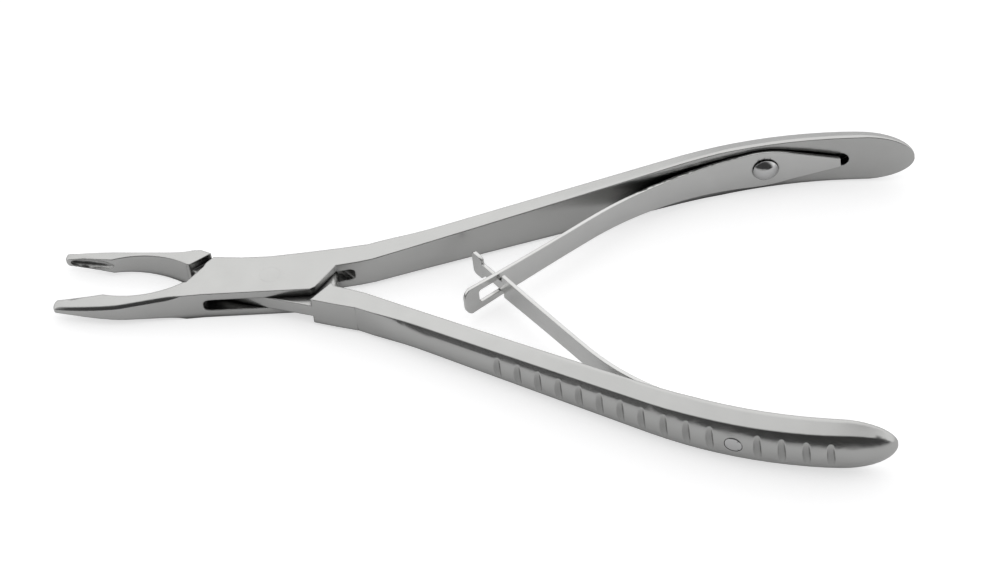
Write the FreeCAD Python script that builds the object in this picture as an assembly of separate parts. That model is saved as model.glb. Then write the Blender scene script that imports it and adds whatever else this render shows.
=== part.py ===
import FreeCAD, Part

import math
import os

os.makedirs("parts", exist_ok=True)

# A bone rongeur with a box lock and two interlocked leaf springs, lying on its side.
# Millimetres and degrees. Each half is drawn closed, with the lock pin at the origin, the jaws
# towards -X, the handles towards +X and the closed jaws meeting on the X axis. The halves are
# then swung apart to the rest pose, and everything is lifted so that the tails stand on Z = 0.

# Opening
half_open = 8.3            # each half swings this far from closed to the sprung rest pose

# Box lock
box_thickness = 5.7
tenon_thickness = 2.5
tenon_side_gap = 0.04      # between the tenon and each plate
box_left = 11.4            # the box plates' far corner on the jaw side
box_lower_left = 3.4       # half width of the box at the jaw
box_lower_right = 4.4      # half width of the box at the handle
box_upper = 4.75           # the side of the box that runs on into its own handle
box_waist = 4.5            # that side at the pin
box_waist_from = 5.0       # the side runs up from here to the ear ...
box_waist_top = 4.85
ear_tip_x = 10.0           # ... with which the plates reach out beside the other half's jaw
ear_tip_y = 5.6
ear_root_x = 11.3
ear_root_y = 4.3
low_corner_back = 0.5      # the small slanting corner between the lower side and the diagonal
low_corner_out = 0.35
low_corner_up = 0.45
neck_back_run = 1.0        # the plates run into the neck's back with this slope
neck_back_rise = 0.25
shoulder_gap = 0.17        # between the plates and the shoulders of the other half, closed
shoulder_lean_x = 3.0      # the jaw shoulder's run along X ...
shoulder_lean_y = 3.35     # ... and along Y
jaw_shoulder_x = 14.95     # where the jaw shoulder starts, at the crotch
jaw_block_top_x = 13.9     # the back corner of the other half's jaw block
jaw_block_top_y = 3.8
diagonal_low_x = 7.5       # the plates' slanting end at the handles
diagonal_top_x = 11.5
diagonal_gap_low = 1.3     # room between that end and the other half's shoulder, closed
shoulder_low_drop = 0.3    # the shoulder's back corner, past the plates' lower side
shoulder_top_back = 0.25   # and its inner corner, from the diagonal's end
shoulder_top_drop = 0.2
shoulder_back_run = 2.0    # the shoulder block's slope on the handle's back
shoulder_back_drop = 0.35
shoulder_neck_run = 0.4
tenon_lap = 0.35           # by which the tenon reaches into the blocks at its ends
tenon_end_back = 2.9       # the tenon's end at the handles, from the window's
window_left_low = 12.0     # where the window breaks out of the lower side
window_end_gap = 0.3       # between the tenon's edges and the window's ends, closed
window_end_round = 0.9
window_right_inner = 14.7
window_right_outer = 11.3
overrun = 3.0              # by which cutting bodies pass what they cut
lock_pin_diameter = 3.6
pin_press_gap = 0.01
pin_running_gap = 0.03

# Jaws
jaw_length = 38.6          # pin to tip
jaw_root = 15.5            # where the box ends and the jaw starts to thin
jaw_tip_thickness = 1.3
jaw_thinning = 0.85        # below 1 the jaw thins later than a straight taper
box_jaw_depth = 3.7        # back to bite face of the box half's jaw
box_jaw_heel = 3.4
box_jaw_tip = 1.4
tenon_jaw_depth = 2.55     # the tenon half's jaw is a little slimmer
tenon_jaw_heel = 3.45
tenon_jaw_tip = 1.2
jaw_taper_start = 26.5
tip_narrowing = 1.5        # power with which the depth falls to the tip
nose_length = 2.0          # the tip is rounded off from the side ...
nose_length_plan = 1.3     # ... and from above
bite_lift = 0.5            # the bite faces lean together, so that the tips meet first
jaw_band = 0.5             # flat that breaks the jaw's back edges
jaw_band_drop = 0.6
jaw_places = 12            # how often the jaw's section is set out
relief_start = 29.6        # hollow behind the cups
relief_end = 15.2
relief_depth = 1.5
cup_length = 8.2
cup_width = 2.3
cup_depth = 1.0
cup_center = 33.4

# Handles
neck_start_y = 0.8         # half gap between the necks, closed, at the box
neck_run_y = 1.2
neck_run_x = 15.5
handle_start_x = 18.0
handle_start_y = 1.6
handle_angle = 15.05       # slope of the straight run, closed
straight_run = 55.9
bow_radius = 90.0          # the tail end bows back towards the axis
tail_run = 12.0            # straight again at the tail's end
handle_length = 98.7       # along the inner face, from the neck to the tail's end
neck_width = 3.85
grip_height = 10.1
grip_start = 66.0          # distance at which the full height is reached
height_growth = 1.2        # above 1 it is reached more slowly at first
side_width = 3.1           # inner face to the crease where the rounded back starts
side_drop = 1.15           # how far the sides lean in towards the back
back_bulge = 1.0           # by which the back is rounded out past the creases
back_grow = 12.0           # length over which the rounded back grows from the neck
rest_land = 0.6            # flat strip beside the inner face, on which the tails rest
land_stock = 0.06          # left on the strip and then cut level
edge_break = 0.05
tail_thin_from = 72.0      # the handle changes from here to the tail's end
tail_side_width = 2.8
tail_bulge = 1.3
tail_round = 9.5           # length of the rounded tail end, seen from the side
tail_round_plan = 12.5     # and seen from above
neck_places = [0.0, 3.0, 6.0, 9.0, 12.0, 16.0, 22.0, 29.0, 36.0, 42.0, 47.0, 51.0, 54.0]   # for sections
bow_places = 9             # how often the section is set out in the bow
back_spans = 6             # arcs that make up the rounded back
tail_places = [11.0, 9.5, 8.0, 6.5, 5.0, 3.6, 2.4, 1.4, 0.7, 0.25, 0.05]   # before the tail's end

# Grip flutes, with one place left out where the rivet comes through
flute_pitch = 3.98
flute_radius = 0.75
flute_depth = 0.5
flutes_before_rivet = 11
flutes_after_rivet = 4

# Spring rivets
rivet_at = 72.1            # distance along the inner face
rivet_diameter = 3.15
rivet_gap = 0.02
head_diameter = 4.5
head_rim = 0.3
head_height = 1.1
head_seat_gap = 0.08       # the spring is slightly bowed under the flat head

# Leaf springs
spring_thickness = 0.7
spring_seat_gap = 0.04
spring_hole_gap = 0.12
spring_width_rivet = 8.0
spring_width_waist = 4.9
spring_width_tip = 6.3
spring_width_crown = 7.64
spring_width_shoulder = 6.2
spring_width_tail = 1.9
slotted_bend_radius = 65.5
slotted_bend_angle = 30.4
slotted_run = 26.9
tongue_bend_radius = 55.6
tongue_bend_angle = 32.5
tongue_run = 31.8
tip_corner_round = 2.2
slot_from_tip = 3.0
slot_length = 5.9
slot_height = 2.8
tongue_neck_gap = 0.2      # above and below the neck in the slot
tongue_head_length = 2.7
tongue_head_width = 5.2
tongue_neck_length = 5.9
slot_corner_round = 0.5
tongue_corner_round = 0.8
waist_share = 0.5          # the waist's place between the tip and the rivet
wide_before_rivet = 2.0    # the blade is at its widest here, and narrows past the rivet ...
crown_past_rivet = 1.6     # ... in an arc through this place ...
shoulder_past_rivet = 4.7  # ... to this one, and then straight to the tail
tail_bend_radius = 45.0    # tighter than the handle's bow, so the tail stands off it
tail_bend_length = 5.0
tail_end_at = 85.5
tail_leg = 1.3             # the tail's end is turned into the pocket this far
tail_leg_width = 1.5
tail_pocket_diameter = 2.95
tail_pocket_depth = 1.6
tail_pocket_at = 85.6

reach = 200.0              # longer than anything that it cuts
half_turn = 180.0
hairline = 0.001           # keeps two surfaces from lying in one plane
near = 0.01                # how exactly an edge must lie level, or on a line, to be taken for it


def vec(x, y, z=0.0):
    return FreeCAD.Vector(x, y, z)


def mix(a, b, share):
    return a + (b - a) * share


def ease(share):
    share = min(max(share, 0.0), 1.0)
    return share * share * (3.0 - 2.0 * share)


def loop(points):
    corners = [vec(*p) for p in points]
    return Part.makePolygon(corners + corners[:1])


def prism(points, low, high):
    """A plan outline of straight edges, raised from low to high."""
    face = Part.Face(loop([(x, y, low) for x, y in points]))
    return face.extrude(vec(0, 0, high - low))


def slab(points, thickness):
    return prism(points, -thickness / 2, thickness / 2)


class Path:
    """A plan path of straight runs and arcs; a positive turn bends it to the left."""

    def __init__(self, x, y, heading):
        self.poses = [(x, y, heading)]
        self.parts = []

    def run(self, length):
        x, y, heading = self.poses[-1]
        a = math.radians(heading)
        self.parts.append((length, 0.0))
        self.poses.append((x + length * math.cos(a), y + length * math.sin(a), heading))
        return self

    def turn(self, radius, angle):
        length = radius * math.radians(abs(angle))
        bend = math.copysign(1.0 / radius, angle)
        self.parts.append((length, bend))
        self.poses.append(step(self.poses[-1], length, bend))
        return self

    def at(self, distance):
        """Position and heading at a distance from the start."""
        for pose, (length, bend) in zip(self.poses, self.parts):
            if distance <= length or (length, bend) == self.parts[-1]:
                return step(pose, distance, bend)
            distance -= length

    def beside(self, distance, offset):
        """A point to the left of the path by offset."""
        x, y, heading = self.at(distance)
        a = math.radians(heading)
        return (x - offset * math.sin(a), y + offset * math.cos(a))

    def edges(self, offset, low):
        """The path's edges, moved to the left by offset, at height low."""
        found = []
        start = 0.0
        for length, bend in self.parts:
            ends = [start, start + length / 2, start + length]
            a, b, c = [vec(*self.beside(d, offset), low) for d in ends]
            curve = Part.Arc(a, b, c) if bend else Part.LineSegment(a, c)
            found.append(curve.toShape())
            start += length
        return found

    def length(self):
        return sum(length for length, bend in self.parts)


def step(pose, distance, bend):
    x, y, heading = pose
    a = math.radians(heading)
    if not bend:
        return (x + distance * math.cos(a), y + distance * math.sin(a), heading)
    b = a + distance * bend
    return (x + (math.sin(b) - math.sin(a)) / bend, y - (math.cos(b) - math.cos(a)) / bend, math.degrees(b))


def set_at(shape, pose):
    """Moves a shape drawn at the origin, along +X with +Y outwards, to a pose on a path."""
    x, y, heading = pose
    placed = shape.copy()
    placed.rotate(vec(0, 0), vec(0, 0, 1), heading)
    placed.translate(vec(x, y))
    return placed


def peg(radius, start, end):
    """A round bar along +Y, across a handle."""
    return Part.makeCylinder(radius, end - start, vec(0, start, 0), vec(0, 1, 0))


def handle_path():
    path = Path(handle_start_x, handle_start_y, handle_angle)
    path.run(straight_run)
    bow = math.degrees((handle_length - straight_run - tail_run) / bow_radius)
    return path.turn(bow_radius, -bow).run(tail_run)


def end_share(distance, length):
    """Falls from 1 to 0 over the rounded tail end, as the edge of an ellipse does."""
    left = min(max((handle_length - distance) / length, 0.0), 1.0)
    return math.sqrt(1.0 - (1.0 - left) ** 2)


def grown_and_thinned(distance, neck, grip, tail):
    """A width that changes from the neck's to the grip's and on to the tail's."""
    grown = mix(neck, grip, ease(distance / back_grow))
    thinned = mix(grown, tail, ease((distance - tail_thin_from) / (handle_length - tail_thin_from)))
    return thinned * end_share(distance, tail_round_plan)


def crease_width(distance):
    return grown_and_thinned(distance, neck_width - edge_break, side_width, tail_side_width)


def handle_thickness(distance):
    return crease_width(distance) + grown_and_thinned(distance, edge_break, back_bulge, tail_bulge)


def handle_section(path, distance):
    """The handle's section: flat inner face, narrow lands, leaning sides, rounded back."""
    taper = min(distance / grip_start, 1.0)
    shrink = end_share(distance, tail_round)
    half = mix(box_thickness, grip_height + 2 * land_stock, taper**height_growth) / 2
    side = mix(box_thickness, grip_height - 2 * side_drop, taper) / 2 - hairline
    land = rest_land * end_share(distance, tail_round_plan)
    upper = [(0.0, half), (land, half), (crease_width(distance), side)]
    lower = [(n, -z) for n, z in reversed(upper)]
    corners = [vec(*path.beside(distance, n), z * shrink) for n, z in upper + lower]
    edges = [Part.LineSegment(a, b).toShape() for a, b in zip(corners, corners[1:] + corners[:1])]
    edges[2:3] = back_arcs(path, distance, side * shrink)
    return Part.Wire(edges)


def back_arcs(path, distance, half):
    """The rounded back of a section, from the upper crease to the lower one, in equal spans."""
    crease = crease_width(distance)
    bulge = handle_thickness(distance) - crease
    radius = (half**2 + bulge**2) / (2 * bulge)
    spread = math.asin(half / radius)
    points = []
    for k in range(2 * back_spans + 1):
        turn = spread * (1 - k / back_spans)
        offset = crease + bulge - radius * (1 - math.cos(turn))
        points.append(vec(*path.beside(distance, offset), radius * math.sin(turn)))
    spans = zip(points[0:-2:2], points[1:-1:2], points[2::2])
    return [Part.Arc(a, b, c).toShape() for a, b, c in spans]


def handle_blank():
    path = handle_path()
    bow = handle_length - straight_run - tail_run
    places = neck_places + [straight_run + bow * k / bow_places for k in range(bow_places + 1)]
    places += [grip_start] + [handle_length - rest for rest in tail_places]
    bar = Part.makeLoft([handle_section(path, d) for d in sorted(places)], True, False)
    level = Part.makeBox(reach, reach, grip_height, vec(0, -reach / 2, -grip_height / 2))
    return bar.common(level)


def round_end(length, half_width):
    """A deep prism that ends at the origin in half an ellipse."""
    face = Part.Face(Part.Wire([Part.Ellipse(vec(0, 0, 0), length, half_width).toShape()]))
    disc = face.extrude(vec(0, 0, reach))
    disc.translate(vec(0, 0, -reach / 2))
    rest = Part.makeBox(reach, reach, reach, vec(-reach, -reach / 2, -reach / 2))
    shape = disc.fuse(rest)
    shape.translate(vec(-length, 0, 0))
    return shape


def flute_places():
    places = range(-flutes_before_rivet, flutes_after_rivet + 1)
    return [rivet_at + k * flute_pitch for k in places if k]


def flutes():
    path = handle_path()
    bars = []
    for distance in flute_places():
        x, y = path.beside(distance, handle_thickness(distance) + flute_radius - flute_depth)
        bars.append(Part.makeCylinder(flute_radius, reach, vec(x, y, -reach / 2)))
    return Part.makeCompound(bars)


def handle_cuts():
    """What is taken out of a handle: flutes, rivet hole and the spring tail's pocket."""
    path = handle_path()
    bore = peg(rivet_diameter / 2 + rivet_gap, -overrun, handle_thickness(rivet_at) + overrun)
    hole = set_at(bore, path.at(rivet_at))
    pocket = set_at(peg(tail_pocket_diameter / 2, -overrun, tail_pocket_depth), path.at(tail_pocket_at))
    return [flutes(), hole, pocket]


def jaw_half_height(x):
    left = max((jaw_length + x) / (jaw_length - jaw_root), 0.0)
    return mix(jaw_tip_thickness, box_thickness, left**jaw_thinning) / 2


def bite_level(x):
    """How far the bite face stands past the middle, near the tip."""
    share = max(0.0, (-x - relief_start) / (jaw_length - relief_start))
    return bite_lift * share * share


def jaw_depth(x, depth, heel, tip):
    """From the middle to the jaw's back: a straight run from the heel, then a tapering tip."""
    heel_share = max(0.0, 1.0 - (-x - jaw_root) / (jaw_taper_start - jaw_root))
    tip_share = max(0.0, (-x - jaw_taper_start) / (jaw_length - jaw_taper_start))
    return mix(mix(depth, heel, heel_share), tip, tip_share**tip_narrowing)


def jaw_section(x, sizes):
    """The lower jaw's section: bite face, flat sides, broken back edges."""
    grown = ease((-x - jaw_root) / (jaw_taper_start - jaw_root) * 4)
    half = jaw_half_height(x) - hairline
    back = jaw_depth(x, *sizes)
    band = mix(edge_break, jaw_band, grown)
    drop = min(mix(edge_break, jaw_band_drop, grown), half / 2)
    upper = [(bite_level(x), half), (-back + band, half), (-back, half - drop)]
    lower = [(y, -z) for y, z in reversed(upper)]
    corners = [vec(x, y, z) for y, z in upper + lower]
    return Part.makePolygon(corners + corners[:1])


def jaw_blank(sizes):
    step_length = (jaw_length - jaw_root) / jaw_places
    places = [-jaw_root - step_length * k for k in range(jaw_places + 1)]
    bar = Part.makeLoft([jaw_section(x, sizes) for x in places], True, False)
    return bar.common(tip_envelope(sizes))


def tip_envelope(sizes):
    """The jaw's nose is half an ellipse from the side and from above."""
    low = -jaw_depth(nose_length_plan - jaw_length, *sizes)
    plan = round_end(nose_length_plan, (bite_lift - low) / 2 + hairline)
    plan.rotate(vec(0, 0), vec(0, 0, 1), half_turn)
    plan.translate(vec(-jaw_length, (bite_lift + low) / 2))
    side = round_end(nose_length, jaw_half_height(nose_length - jaw_length) + hairline)
    side.rotate(vec(0, 0), vec(1, 0, 0), half_turn / 2)
    side.rotate(vec(0, 0), vec(0, 0, 1), half_turn)
    side.translate(vec(-jaw_length, 0))
    return plan.common(side)


def relief():
    """The hollow behind the cup, cut into the lower jaw's bite face."""
    start = vec(-relief_start, 0, -reach / 2)
    deep = vec(-(relief_start + relief_end) / 2, -relief_depth, -reach / 2)
    end = vec(-relief_end, 0, -reach / 2)
    above = [vec(-relief_end, overrun, -reach / 2), vec(-relief_start, overrun, -reach / 2)]
    edges = [
        Part.Arc(start, deep, end).toShape(),
        Part.LineSegment(end, above[0]).toShape(),
        Part.LineSegment(above[0], above[1]).toShape(),
        Part.LineSegment(above[1], start).toShape(),
    ]
    return Part.Face(Part.Wire(edges)).extrude(vec(0, 0, reach))


def cup():
    """The cutting cup, hollowed into the bite face: an ellipse turned about the jaw's length."""
    curve = Part.Arc(Part.Ellipse(vec(0, 0, 0), cup_length / 2, cup_width / 2), 0, math.pi)
    ends = Part.LineSegment(vec(-cup_length / 2, 0), vec(cup_length / 2, 0))
    face = Part.Face(Part.Wire([curve.toShape(), ends.toShape()]))
    egg = face.revolve(vec(0, 0, 0), vec(1, 0, 0), 360)
    egg.translate(vec(-cup_center, cup_width / 2 - cup_depth, 0))
    return egg


def lower_jaw(*sizes):
    """A jaw of the given depth, heel and tip, hollowed."""
    return jaw_blank(sizes).cut(relief()).cut(cup())


def neck_points():
    """The inner edge of the neck, then its back corner, ending square to the handle."""
    path = handle_path()
    inner = [(diagonal_top_x, neck_start_y), (neck_run_x, neck_run_y)]
    return inner + [path.beside(0, 0), path.beside(0, neck_width)]


def shoulder_line(shift):
    """The slanting jaw shoulder, closed, moved towards the box by shift."""
    start = (-jaw_shoulder_x + shift, 0.0)
    return [start, (start[0] + shoulder_lean_x, shoulder_lean_y)]


def box_plan():
    """The box half's plan at full thickness, from the jaw's root to the neck."""
    mate = shoulder_line(shoulder_gap)
    return [
        (-jaw_root, 0.0),
        (-jaw_root, -box_jaw_heel),
        (-window_left_low, -box_lower_left),
        (diagonal_low_x - low_corner_back, -box_lower_right),
        (diagonal_low_x + low_corner_out, -box_lower_right + low_corner_up),
        *neck_points(),
        (diagonal_top_x + neck_back_run, box_upper + neck_back_rise),
        (diagonal_low_x, box_upper),
        (0.0, box_waist),
        (-box_waist_from, box_waist_top),
        (-ear_tip_x, ear_tip_y),
        (-ear_root_x, ear_root_y),
        mate[1],
        mate[0],
    ]


def window():
    """The space between the plates, open on both sides of the box."""
    height = tenon_thickness + 2 * tenon_side_gap
    crotch = (-jaw_root, 0.0)
    low = (-window_left_low, -box_lower_left)
    inner = (window_right_inner, neck_run_y)
    outer = (window_right_outer, box_upper)
    points = [
        onward(low, crotch, overrun),
        onward(crotch, low, overrun),
        (diagonal_top_x, -box_lower_right - overrun),
        onward(outer, inner, overrun),
        onward(inner, outer, overrun),
        (-box_left, box_upper + overrun),
    ]
    ends = [(points[0], points[1]), (points[3], points[4])]
    return rounded_ends(slab(points, height), ends)


def rounded_ends(body, walls):
    """Rounds the level edges of a slab along the walls named by two plan points each."""
    chosen = []
    for edge in body.Edges:
        a, b = [v.Point for v in edge.Vertexes]
        if abs(a.z - b.z) > near:
            continue
        for start, end in walls:
            if on_line(a, start, end) and on_line(b, start, end):
                chosen.append(edge)
    return body.makeFillet(window_end_round, chosen)


def on_line(point, start, end):
    across = (end[0] - start[0]) * (point.y - start[1]) - (end[1] - start[1]) * (point.x - start[0])
    return abs(across) < near


def onward(start, end, extra):
    """The point past end, on the line from start, by extra."""
    length = math.hypot(end[0] - start[0], end[1] - start[1])
    share = 1.0 + extra / length
    return (mix(start[0], end[0], share), mix(start[1], end[1], share))


def box_half():
    jaw = lower_jaw(box_jaw_depth, box_jaw_heel, box_jaw_tip)
    body = slab(box_plan(), box_thickness).fuse([handle_blank(), jaw])
    bore = Part.makeCylinder(lock_pin_diameter / 2 + pin_press_gap, reach, vec(0, 0, -reach / 2))
    return body.removeSplitter().cut([window(), bore] + handle_cuts())


def mirrored(shape):
    return shape.mirror(vec(0, 0, 0), vec(0, 1, 0))


def tenon_shoulder():
    """The other half's shoulder at the handle, closed, from its back to its inner edge."""
    low = (diagonal_low_x + diagonal_gap_low, -box_lower_right - shoulder_low_drop)
    top = (diagonal_top_x - shoulder_top_back, -shoulder_top_drop)
    return [low, top]


def tenon_plan():
    """The thin tenon, with its edges parallel to the window's ends when closed."""
    low = tenon_shoulder()[0]
    jaw_line = shoulder_line(window_end_gap)
    return [
        (jaw_line[0][0], tenon_lap),
        (-window_left_low + window_end_gap * 1.5, -box_lower_left + window_end_gap / 2),
        low,
        (low[0] + neck_start_y, low[1] + tenon_lap),
        (diagonal_top_x, -neck_start_y - tenon_lap),
        (window_right_inner - tenon_end_back, neck_run_y / 2),
        (window_right_outer - window_end_gap, box_upper - tenon_lap),
        shoulder_line(0.0)[1],
        (-jaw_block_top_x, shoulder_lean_y - tenon_lap),
        (-jaw_root, neck_start_y),
    ]


def jaw_block():
    """The tenon half's full-thickness block between its jaw and its shoulder."""
    back = [(-jaw_block_top_x, jaw_block_top_y), (-jaw_root, tenon_jaw_heel)]
    return slab([(-jaw_root, 0.0), *shoulder_line(0.0), *back], box_thickness)


def handle_block():
    low, top = tenon_shoulder()
    neck = [(x, -y) for x, y in neck_points()]
    start = (neck[0][0] + shoulder_neck_run, neck[0][1])
    back = (diagonal_top_x + shoulder_back_run, -box_upper - shoulder_back_drop)
    return slab([low, top, start, *neck[1:], back], box_thickness)


def tenon_half():
    jaw = mirrored(lower_jaw(tenon_jaw_depth, tenon_jaw_heel, tenon_jaw_tip))
    blocks = [jaw_block(), handle_block(), mirrored(handle_blank()), jaw]
    plan = tenon_plan()
    tenon = rounded_ends(slab(plan, tenon_thickness), [plan[0:2], plan[5:7]])
    body = tenon.fuse(blocks).removeSplitter()
    bore = Part.makeCylinder(lock_pin_diameter / 2 + pin_running_gap, reach, vec(0, 0, -reach / 2))
    return body.cut([bore] + [mirrored(cut) for cut in handle_cuts()])


def lock_pin():
    return Part.makeCylinder(lock_pin_diameter / 2, box_thickness, vec(0, 0, -box_thickness / 2))


def spring_path(bend_radius, bend_angle, run):
    """The blade's middle line, from its tip to its tail, beside the handle's inner face."""
    handle = handle_path()
    inset = spring_seat_gap + spring_thickness / 2
    seat = handle.at(rivet_at)
    x, y = handle.beside(rivet_at, -inset)
    back = Path(x, y, seat[2] + half_turn).turn(bend_radius, bend_angle).run(run)
    tip = back.poses[-1]
    blade = Path(tip[0], tip[1], tip[2] - half_turn).run(run).turn(bend_radius, -bend_angle)
    blade.turn(tail_bend_radius, -math.degrees(tail_bend_length / tail_bend_radius))
    return blade.run(tail_end_at - rivet_at - tail_bend_length)


def ribbon(path, height):
    """A strip of spring steel standing on edge along the path."""
    low = -height / 2
    sides = [path.edges(spring_thickness / 2, low), path.edges(-spring_thickness / 2, low)]
    ends = []
    for distance in (0.0, path.length()):
        a = vec(*path.beside(distance, spring_thickness / 2), low)
        b = vec(*path.beside(distance, -spring_thickness / 2), low)
        ends.append(Part.LineSegment(a, b).toShape())
    wire = Part.Wire(Part.__sortEdges__(sides[0] + sides[1] + ends))
    return Part.Face(wire).extrude(vec(0, 0, height))


def spring_blade(bend_radius, bend_angle, run):
    """Either spring before its tip is cut: waisted blade, rivet hole, narrow turned-in tail."""
    path = spring_path(bend_radius, bend_angle, run)
    seat = run + bend_radius * math.radians(bend_angle)
    blade = ribbon(path, spring_width_rivet)
    leg = Part.makeBox(spring_thickness, tail_leg, tail_leg_width)
    leg.translate(vec(-spring_thickness, 0, -tail_leg_width / 2))
    blade = blade.fuse(set_at(leg, path.at(path.length()))).removeSplitter()
    hole = set_at(peg(rivet_diameter / 2 + spring_hole_gap, -overrun, overrun), path.at(seat))
    outline = blade_outline(path, seat)
    return blade.cut(hole).common(outline), path


def blade_outline(path, seat):
    """The blade's side view: wide tip, waist, widest at the rivet, narrow tail."""
    tip = path.at(0.0)[0] - overrun
    rivet = path.at(seat)[0]
    tail = path.at(path.length())[0]
    waist = mix(tip, rivet, waist_share)
    wide, thin = spring_width_rivet / 2, spring_width_waist / 2
    end, last = spring_width_tip / 2, spring_width_tail / 2
    front = vec(rivet - wide_before_rivet, 0, wide)
    crown = vec(rivet + crown_past_rivet, 0, spring_width_crown / 2)
    corners = [
        vec(rivet + shoulder_past_rivet, 0, spring_width_shoulder / 2),
        vec(tail, 0, last),
        vec(tail + overrun, 0, last),
        vec(tail + overrun, 0, 0),
        vec(tip, 0, 0),
        vec(tip, 0, end),
    ]
    upper = [Part.LineSegment(a, b).toShape() for a, b in zip(corners, corners[1:])]
    upper.append(Part.Arc(corners[-1], vec(waist, 0, thin), front).toShape())
    upper.append(Part.Arc(front, crown, corners[0]).toShape())
    top = Part.Face(Part.Wire(upper)).extrude(vec(0, reach, 0))
    top.translate(vec(0, -reach / 2, 0))
    return top.fuse(top.mirror(vec(0, 0, 0), vec(0, 0, 1))).removeSplitter()


def side_box(start, end, height, corner=0.0):
    """A block through a blade, from start to end along it, with its corners rounded."""
    block = Part.makeBox(end - start, 2 * overrun, height, vec(start, -overrun, -height / 2))
    if corner:
        across = [e for e in block.Edges if abs(e.tangentAt(e.FirstParameter).y) > 0.5]
        block = block.makeFillet(corner, across)
    return block


def slotted_spring():
    blade, path = spring_blade(slotted_bend_radius, slotted_bend_angle, slotted_run)
    tip = path.at(0.0)
    slot_end = slot_from_tip + slot_length
    slot = set_at(side_box(slot_from_tip, slot_end, slot_height, slot_corner_round), tip)
    rounded = side_box(0.0, slot_end + overrun, spring_width_tip + hairline, tip_corner_round)
    return blade.cut(slot).common(keep(set_at(rounded, tip), path, slot_end))


def keep(rounded, path, distance):
    """The rounded tip block, and everything past a distance along the blade."""
    x, y, heading = path.at(distance)
    far = Part.makeBox(reach, reach * 2, reach, vec(0, -reach, -reach / 2))
    far.rotate(vec(0, 0), vec(0, 0, 1), heading)
    far.translate(vec(x, y))
    return rounded.fuse(far)


def tongue_spring():
    blade, path = spring_blade(tongue_bend_radius, tongue_bend_angle, tongue_run)
    neck_end = tongue_head_length + tongue_neck_length
    neck = slot_height - 2 * tongue_neck_gap
    head = side_box(0.0, tongue_head_length, tongue_head_width, tongue_corner_round)
    stem = side_box(tongue_head_length / 2, neck_end + hairline, neck)
    shape = set_at(head.fuse(stem), path.at(0.0))
    return blade.common(keep(shape, path, neck_end))


def spring_rivet(body):
    """A domed rivet whose other end is ground flush with the handle's back."""
    place = handle_path().at(rivet_at)
    seat = -(spring_seat_gap + spring_thickness + head_seat_gap)
    shank = peg(rivet_diameter / 2, -spring_seat_gap, handle_thickness(rivet_at) + overrun)
    shank = set_at(shank, place).common(body)
    bridge = peg(rivet_diameter / 2, seat - head_rim, spring_seat_gap)
    rim = peg(head_diameter / 2, seat - head_rim, seat)
    ball = (head_diameter**2 / 4 + head_height**2) / (2 * head_height)
    dome = Part.makeSphere(ball, vec(0, seat - head_rim - head_height + ball, 0))
    dome = dome.common(peg(head_diameter / 2, seat - head_rim - ball, seat - head_rim))
    head = set_at(dome.fuse([rim, bridge]), place)
    return head.fuse(shank).removeSplitter()


def swung(shape, angle):
    turned = shape.copy()
    turned.rotate(vec(0, 0, 0), vec(0, 0, 1), angle)
    return turned


def assemble():
    plain = handle_blank()
    rivet = spring_rivet(plain)
    parts = {
        "box_half": swung(box_half(), half_open),
        "tenon_half": swung(tenon_half(), -half_open),
        "lock_pin": lock_pin(),
        "slotted_spring": swung(slotted_spring(), half_open),
        "tongue_spring": swung(mirrored(tongue_spring()), -half_open),
        "upper_spring_rivet": swung(rivet, half_open),
        "lower_spring_rivet": swung(mirrored(rivet), -half_open),
    }
    box = FreeCAD.BoundBox()
    for shape in parts.values():
        box.add(shape.optimalBoundingBox(False, False))
    shift = vec(-box.Center.x, -box.Center.y, -box.ZMin)
    for shape in parts.values():
        shape.translate(shift)
    return parts, shift


parts, shift = assemble()
print("pin at", [round(v, 4) for v in shift])
for name, shape in parts.items():
    shape.exportStep("parts/" + name + ".step")
    print(name, len(shape.Solids), round(shape.Volume, 2), shape.isValid())
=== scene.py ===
import math

import bmesh
import bpy
from mathutils import Matrix, Vector


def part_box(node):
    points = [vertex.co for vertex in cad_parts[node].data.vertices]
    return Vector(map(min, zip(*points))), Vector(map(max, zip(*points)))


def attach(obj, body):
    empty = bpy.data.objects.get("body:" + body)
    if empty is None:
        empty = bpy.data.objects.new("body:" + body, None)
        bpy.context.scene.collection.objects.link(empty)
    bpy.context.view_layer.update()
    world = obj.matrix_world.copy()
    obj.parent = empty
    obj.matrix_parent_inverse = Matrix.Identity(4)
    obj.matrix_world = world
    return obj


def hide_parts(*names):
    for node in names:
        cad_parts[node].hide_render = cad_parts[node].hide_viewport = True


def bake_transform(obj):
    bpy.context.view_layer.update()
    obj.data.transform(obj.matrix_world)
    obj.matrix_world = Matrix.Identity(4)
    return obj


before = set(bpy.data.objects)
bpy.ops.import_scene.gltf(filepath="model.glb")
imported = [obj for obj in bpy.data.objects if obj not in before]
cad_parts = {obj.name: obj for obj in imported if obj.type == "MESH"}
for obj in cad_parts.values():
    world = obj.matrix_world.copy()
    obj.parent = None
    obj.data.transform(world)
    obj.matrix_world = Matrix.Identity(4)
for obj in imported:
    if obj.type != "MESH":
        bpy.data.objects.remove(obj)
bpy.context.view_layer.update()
mm = 0.001
pinLow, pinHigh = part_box("lock_pin")
pinX = (pinLow[0] + pinHigh[0]) / 2


def mesh(name, work, material):
    data = bpy.data.meshes.new(name)
    work.to_mesh(data)
    work.free()
    piece = bpy.data.objects.new(name, data)
    bpy.context.scene.collection.objects.link(piece)
    piece.data.materials.append(material)
    return piece


# Surface effects: satin grain, and painted shade in gaps and slots

surface = {
    "detail": {"grain": 4.0, "blotch": 3.0},
    "samples": 8,
    # the painted shade in gaps and slots is full below blackBelow and gone past clearPast
    "blackBelow": {"deepReach": 0.15, "narrowReach": 0.45},    # share of the light that reaches a place
    "clearPast": {"deepReach": 0.7, "narrowReach": 0.95},
}


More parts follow.
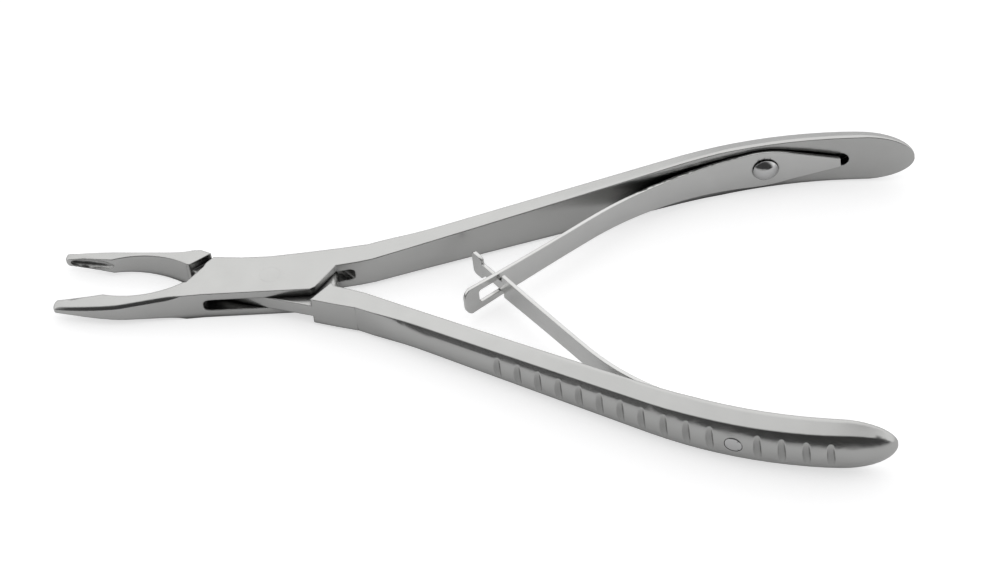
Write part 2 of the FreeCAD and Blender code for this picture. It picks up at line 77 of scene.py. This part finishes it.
def effectGroup(name, inputs, outputs):
    group = bpy.data.node_groups.new(name, "ShaderNodeTree")
    for way, sockets in (("INPUT", inputs), ("OUTPUT", outputs)):
        for socket in sockets:
            group.interface.new_socket(socket, in_out=way, socket_type="NodeSocketFloat")
    return group, group.nodes.new("NodeGroupInput"), group.nodes.new("NodeGroupOutput")


# fine beaded satin of surgical steel: a tiny grain and broad faint blotches
def satinGrain():
    group, given, result = effectGroup("satinGrain", ("grainScale", "blotchScale"), ("grain", "blotch"))
    nodes, links = group.nodes, group.links
    place = nodes.new("ShaderNodeTexCoord")
    for scale, out in (("grainScale", "grain"), ("blotchScale", "blotch")):
        noise = nodes.new("ShaderNodeTexNoise")
        noise.inputs["Detail"].default_value = surface["detail"][out]
        links.new(place.outputs["Object"], noise.inputs["Vector"])
        links.new(given.outputs[scale], noise.inputs["Scale"])
        links.new(noise.outputs["Fac"], result.inputs[out])
    return group


# painted shade: how deep a place lies in a gap or slot, where little light reaches; there the steel's
# colour is painted near black
def paintedHollowShade():
    reaches = ("deepReach", "narrowReach")
    group, given, result = effectGroup("paintedHollowShade", reaches, ("open",))
    nodes, links = group.nodes, group.links
    both = nodes.new("ShaderNodeMath")
    both.operation = "MULTIPLY"
    for k, reach in enumerate(reaches):
        shade = nodes.new("ShaderNodeAmbientOcclusion")
        shade.samples = surface["samples"]
        links.new(given.outputs[reach], shade.inputs["Distance"])
        spread = nodes.new("ShaderNodeMapRange")
        spread.inputs["From Min"].default_value = surface["blackBelow"][reach]
        spread.inputs["From Max"].default_value = surface["clearPast"][reach]
        links.new(shade.outputs["AO"], spread.inputs["Value"])
        links.new(spread.outputs["Result"], both.inputs[k])
    links.new(both.outputs["Value"], result.inputs["open"])
    return group


steelGrain = satinGrain()
steelPaintedHollowShade = paintedHollowShade()


# edges are a little rounded, but the lock pin's ends are ground flush with the plates
def edgeRadius(nodes, links, look):
    place = nodes.new("ShaderNodeTexCoord")
    plan = nodes.new("ShaderNodeVectorMath")
    plan.operation = "MULTIPLY"
    plan.inputs[1].default_value = (1.0, 1.0, 0.0)
    links.new(place.outputs["Object"], plan.inputs[0])
    away = nodes.new("ShaderNodeVectorMath")
    away.operation = "DISTANCE"
    away.inputs[1].default_value = (pinX, 0.0, 0.0)
    links.new(plan.outputs["Vector"], away.inputs[0])
    radius = nodes.new("ShaderNodeMapRange")
    radius.inputs["From Min"].default_value = look["flushWithin"] * mm
    radius.inputs["From Max"].default_value = look["roundPast"] * mm
    radius.inputs["To Max"].default_value = look["edgeRound"] * mm
    links.new(away.outputs["Value"], radius.inputs["Value"])
    return radius.outputs["Result"]


def steel(name, look):
    material = bpy.data.materials.new(name)
    material.use_nodes = True
    nodes, links = material.node_tree.nodes, material.node_tree.links
    shader = nodes["Principled BSDF"]
    shader.inputs["Metallic"].default_value = 1.0
    effect = nodes.new("ShaderNodeGroup")
    effect.node_tree = steelGrain
    effect.inputs["grainScale"].default_value = look["grainScale"]
    effect.inputs["blotchScale"].default_value = look["blotchScale"]
    tone = nodes.new("ShaderNodeMix")
    tone.data_type = "RGBA"
    tone.inputs["A"].default_value = (*look["dark"], 1.0)
    tone.inputs["B"].default_value = (*look["light"], 1.0)
    links.new(effect.outputs["blotch"], tone.inputs["Factor"])
    # painted shade: the base colour is mixed toward a near-black colour in gaps and slots, where little
    # light reaches
    paintedShade = nodes.new("ShaderNodeGroup")
    paintedShade.node_tree = steelPaintedHollowShade
    for reach in ("deepReach", "narrowReach"):
        paintedShade.inputs[reach].default_value = look[reach] * mm
    shaded = nodes.new("ShaderNodeMix")
    shaded.data_type = "RGBA"
    shaded.inputs["A"].default_value = (*look["paintedShadeColour"], 1.0)
    links.new(paintedShade.outputs["open"], shaded.inputs["Factor"])
    links.new(tone.outputs["Result"], shaded.inputs["B"])
    links.new(shaded.outputs["Result"], shader.inputs["Base Color"])
    rough = nodes.new("ShaderNodeMapRange")
    rough.inputs["To Min"].default_value = look["smooth"]
    rough.inputs["To Max"].default_value = look["rough"]
    links.new(effect.outputs["grain"], rough.inputs["Value"])
    links.new(rough.outputs["Result"], shader.inputs["Roughness"])
    rounded = nodes.new("ShaderNodeBevel")
    rounded.samples = surface["samples"]
    links.new(edgeRadius(nodes, links, look), rounded.inputs["Radius"])
    bump = nodes.new("ShaderNodeBump")
    bump.inputs["Strength"].default_value = look["bump"]
    bump.inputs["Distance"].default_value = look["bumpDepth"] * mm
    links.new(effect.outputs["grain"], bump.inputs["Height"])
    links.new(rounded.outputs["Normal"], bump.inputs["Normal"])
    links.new(bump.outputs["Normal"], shader.inputs["Normal"])
    return material


satinLook = {
    "dark": (0.56, 0.56, 0.55),
    "light": (0.62, 0.62, 0.61),
    "smooth": 0.20,
    "rough": 0.30,
    "grainScale": 9000.0,
    "blotchScale": 220.0,
    "bump": 0.2,
    "bumpDepth": 0.02,
    "edgeRound": 0.4,
    "flushWithin": 2.6,
    "roundPast": 3.0,
    # painted shade: how far it looks for cover, and the near-black colour painted into gaps and slots
    "deepReach": 3.0,
    "narrowReach": 1.2,
    "paintedShadeColour": (0.03, 0.03, 0.03),
}
springLook = {
    **satinLook,
    "dark": (0.69, 0.69, 0.68),
    "light": (0.77, 0.77, 0.76),
    "edgeRound": 0.06,
    "deepReach": 1.0,
    "narrowReach": 0.4,
}
polishedLook = {
    **satinLook,
    "dark": (0.66, 0.66, 0.66),
    "light": (0.70, 0.70, 0.70),
    "smooth": 0.12,
    "rough": 0.2,
    "bump": 0.05,
    "edgeRound": 0.1,
    "deepReach": 0.8,
    "narrowReach": 0.4,
}
satinSteel = steel("satinSteel", satinLook)
springSteel = steel("springSteel", springLook)
polishedSteel = steel("polishedSteel", polishedLook)


# Steel pieces: the frame's own shapes, merged, and the rivets and springs with broken corners

finish = {
    "weld": 0.002 * mm,              # joins the loose triangles
    "flat": math.radians(0.4),       # neighbours that differ less are one face
    "crease": math.radians(18.0),    # an edge past this shades sharp
    "corner": math.radians(42.0),    # and past this it is broken
    "segments": 2,
    "faceWeight": 100,
}


def faceTurn(edge):
    return edge.calc_face_angle(0.0)


def carried(node):
    work = bmesh.new()
    work.from_mesh(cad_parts[node].data)
    bmesh.ops.remove_doubles(work, verts=work.verts, dist=finish["weld"])
    for edge in work.edges:
        edge.smooth = faceTurn(edge) < finish["crease"]
    for face in work.faces:
        face.smooth = True
    return work


def brokenCorners(work, width):
    bmesh.ops.dissolve_limit(work, angle_limit=finish["flat"], verts=work.verts, edges=work.edges)
    corners = [edge for edge in work.edges if faceTurn(edge) > finish["corner"]]
    made = bmesh.ops.bevel(
        work, geom=corners, offset=width, offset_type="OFFSET", segments=finish["segments"],
        profile=0.5, affect="EDGES", clamp_overlap=False, material=-1)
    for face in made["faces"]:
        for edge in face.edges:
            edge.smooth = True
    for face in work.faces:
        face.smooth = True


# flat faces keep their own shade up to their edges
def evenShading(piece):
    even = piece.modifiers.new("evenShading", "WEIGHTED_NORMAL")
    even.keep_sharp = True
    even.weight = finish["faceWeight"]


def forging(node, name, body):
    piece = mesh(name, carried(node), satinSteel)
    evenShading(piece)
    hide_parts(node)
    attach(piece, body)


forging("box_half", "boxHalfForging", "box_side")
forging("tenon_half", "tenonHalfForging", "tenon_side")
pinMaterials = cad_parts["lock_pin"].data.materials
pinMaterials.clear()
pinMaterials.append(satinSteel)
print("forgings made")

rivets = {"corner": 0.15 * mm}


def rivet(node, name, body):
    work = carried(node)
    brokenCorners(work, rivets["corner"])
    piece = mesh(name, work, polishedSteel)
    evenShading(piece)
    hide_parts(node)
    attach(piece, body)


rivet("upper_spring_rivet", "upperRivet", "box_side")
rivet("lower_spring_rivet", "lowerRivet", "tenon_side")
print("rivets made")

springs = {
    "corner": 0.1 * mm,
    "bendFrom": 52.0 * mm,     # the blades are cut across here ...
    "bendTo": 26.0 * mm,
    "cutEvery": 1.0 * mm,      # ... a millimetre apart
    "nearCut": 1e-7,
    "level": 5.05 * mm,
    "clamped": {"slotted_spring": (45.2 * mm, 30.3 * mm), "tongue_spring": (45.2 * mm, -30.3 * mm)},
    "free": {"slotted_spring": (34.0 * mm, 25.9 * mm), "tongue_spring": (34.1 * mm, -25.8 * mm)},
}


# a blade is cut across in front of its rivet, where the spring bends
def leafSpring(node, name):
    work = carried(node)
    brokenCorners(work, springs["corner"])
    cuts = int((springs["bendFrom"] - springs["bendTo"]) / springs["cutEvery"])
    for k in range(cuts + 1):
        place = (springs["bendTo"] + k * springs["cutEvery"], 0.0, 0.0)
        everything = [*work.verts, *work.edges, *work.faces]
        bmesh.ops.bisect_plane(
            work, geom=everything, plane_co=place, plane_no=(1.0, 0.0, 0.0), dist=springs["nearCut"])
    piece = mesh(name, work, springSteel)
    evenShading(piece)
    graph = bpy.context.evaluated_depsgraph_get()
    settled = bpy.data.meshes.new_from_object(piece.evaluated_get(graph))
    piece.modifiers.clear()
    piece.data = settled
    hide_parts(node)
    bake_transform(piece)


leafSpring("slotted_spring", "slottedLeaf")
leafSpring("tongue_spring", "tongueLeaf")
print("springs made")


# Table top, leaning a little because the rongeur lies on its tails and its box

table = {
    "width": 3.0,
    "front": -66.0 * mm,   # its edge, past which the steel mirrors the dark
    "back": 1.5,
    "touchX": 39.4 * mm,   # where the handles first touch it
    "boxX": -51.6 * mm,    # the box's far corner ...
    "boxZ": 2.2 * mm,      # ... and how high its underside is
    "colour": (0.58, 0.58, 0.585),
    "glow": 0.66,          # the pale background, as the camera sees it ...
    "mirrored": 0.18,      # ... and as the steel shows it
    "roughness": 0.9,
}


def tableTop():
    work = bmesh.new()
    lean = math.atan2(table["boxZ"], table["touchX"] - table["boxX"])
    bmesh.ops.create_grid(work, x_segments=1, y_segments=1, size=0.5)
    bmesh.ops.scale(work, verts=work.verts, vec=(table["width"], table["back"] - table["front"], 1.0))
    bmesh.ops.translate(work, verts=work.verts, vec=(0, (table["back"] + table["front"]) / 2, 0))
    bmesh.ops.rotate(work, verts=work.verts, cent=(0, 0, 0), matrix=Matrix.Rotation(lean, 3, "Y"))
    bmesh.ops.translate(work, verts=work.verts, vec=(table["touchX"], 0, 0))
    material = bpy.data.materials.new("paleTable")
    material.use_nodes = True
    nodes, links = material.node_tree.nodes, material.node_tree.links
    shader = nodes["Principled BSDF"]
    shader.inputs["Base Color"].default_value = (*table["colour"], 1.0)
    shader.inputs["Roughness"].default_value = table["roughness"]
    shader.inputs["Specular IOR Level"].default_value = 0.0
    shader.inputs["Emission Color"].default_value = (1.0, 1.0, 1.0, 1.0)
    path = nodes.new("ShaderNodeLightPath")
    mirrored = nodes.new("ShaderNodeMath")
    mirrored.operation = "MAXIMUM"
    links.new(path.outputs["Is Glossy Ray"], mirrored.inputs[0])
    links.new(path.outputs["Is Transmission Ray"], mirrored.inputs[1])
    soft = nodes.new("ShaderNodeMath")
    soft.operation = "MULTIPLY"
    soft.inputs[1].default_value = table["mirrored"]
    links.new(mirrored.outputs["Value"], soft.inputs[0])
    glow = nodes.new("ShaderNodeMath")
    glow.operation = "MULTIPLY_ADD"
    glow.inputs[1].default_value = table["glow"]
    links.new(path.outputs["Is Camera Ray"], glow.inputs[0])
    links.new(soft.outputs["Value"], glow.inputs[2])
    links.new(glow.outputs["Value"], shader.inputs["Emission Strength"])
    top = mesh("paleTable", work, material)


tableTop()
print("table made")


# Studio

studio = {
    "worldBack": 0.95,
    "worldFront": 0.05,
    "darkBelow": -0.6,     # how far to the back a direction points, from -1 to 1
    "lightPast": -0.2,
    "backLight": 0.3,
    "backSize": 0.9,
    "backAt": (-0.1, 0.9, 0.85),
    "sideLight": 0.15,
    "sideSize": 0.6,
    "sideAt": (-0.9, -0.1, 0.7),
}


def softLamp(name, power, size, place):
    data = bpy.data.lights.new(name, "AREA")
    data.energy = power
    data.size = size
    lamp = bpy.data.objects.new(name, data)
    lamp.location = place
    lamp.rotation_mode = "QUATERNION"
    lamp.rotation_quaternion = (-Vector(place)).to_track_quat("-Z", "Y")
    bpy.context.scene.collection.objects.link(lamp)


def studioWorld():
    world = bpy.data.worlds.new("paleStudio")
    bpy.context.scene.world = world
    world.use_nodes = True
    nodes, links = world.node_tree.nodes, world.node_tree.links
    background = nodes["Background"]
    place = nodes.new("ShaderNodeTexCoord")
    axes = nodes.new("ShaderNodeSeparateXYZ")
    links.new(place.outputs["Generated"], axes.inputs["Vector"])
    turn = nodes.new("ShaderNodeMapRange")
    turn.interpolation_type = "SMOOTHSTEP"
    turn.inputs["From Min"].default_value = studio["darkBelow"]
    turn.inputs["From Max"].default_value = studio["lightPast"]
    turn.inputs["To Min"].default_value = studio["worldFront"]
    turn.inputs["To Max"].default_value = studio["worldBack"]
    links.new(axes.outputs["Y"], turn.inputs["Value"])
    path = nodes.new("ShaderNodeLightPath")
    seen = nodes.new("ShaderNodeMix")    # white where the camera looks at it
    seen.inputs["B"].default_value = 1.0
    links.new(path.outputs["Is Camera Ray"], seen.inputs["Factor"])
    links.new(turn.outputs["Result"], seen.inputs["A"])
    links.new(seen.outputs["Result"], background.inputs["Strength"])
    background.inputs["Color"].default_value = (1.0, 1.0, 1.0, 1.0)


softLamp("backLamp", studio["backLight"], studio["backSize"], studio["backAt"])
softLamp("sideLamp", studio["sideLight"], studio["sideSize"], studio["sideAt"])
studioWorld()
print("studio lit")


# Camera at the photograph's viewing angle

shot = {
    "azimuth": 11.703,
    "elevation": 45.0,
    "roll": -7.514,
    "distance": 700.0 * mm,
    "focus": (pinX + 40.09 * mm, 2.0 * mm, 5.05 * mm),
    "sensor": 36.0,
    "lens": 144.9,
    "nearest": 50.0 * mm,
}


def camera():
    turn, rise, roll = (math.radians(shot[k]) for k in ("azimuth", "elevation", "roll"))
    back = Vector((math.sin(turn) * math.cos(rise), -math.cos(turn) * math.cos(rise), math.sin(rise)))
    right = Vector((0, 0, 1)).cross(back).normalized()
    up = back.cross(right)
    rolledRight = right * math.cos(roll) + up * math.sin(roll)
    rolledUp = up * math.cos(roll) - right * math.sin(roll)
    data = bpy.data.cameras.new("photoCamera")
    data.sensor_width = shot["sensor"]
    data.lens = shot["lens"]
    data.clip_start = shot["nearest"]
    taker = bpy.data.objects.new("photoCamera", data)
    place = Matrix((rolledRight, rolledUp, back)).transposed().to_4x4()
    place.translation = Vector(shot["focus"]) + back * shot["distance"]
    taker.matrix_world = place
    bpy.context.scene.collection.objects.link(taker)
    bpy.context.scene.camera = taker


camera()
bpy.context.scene.view_settings.view_transform = "Standard"
print("camera set")
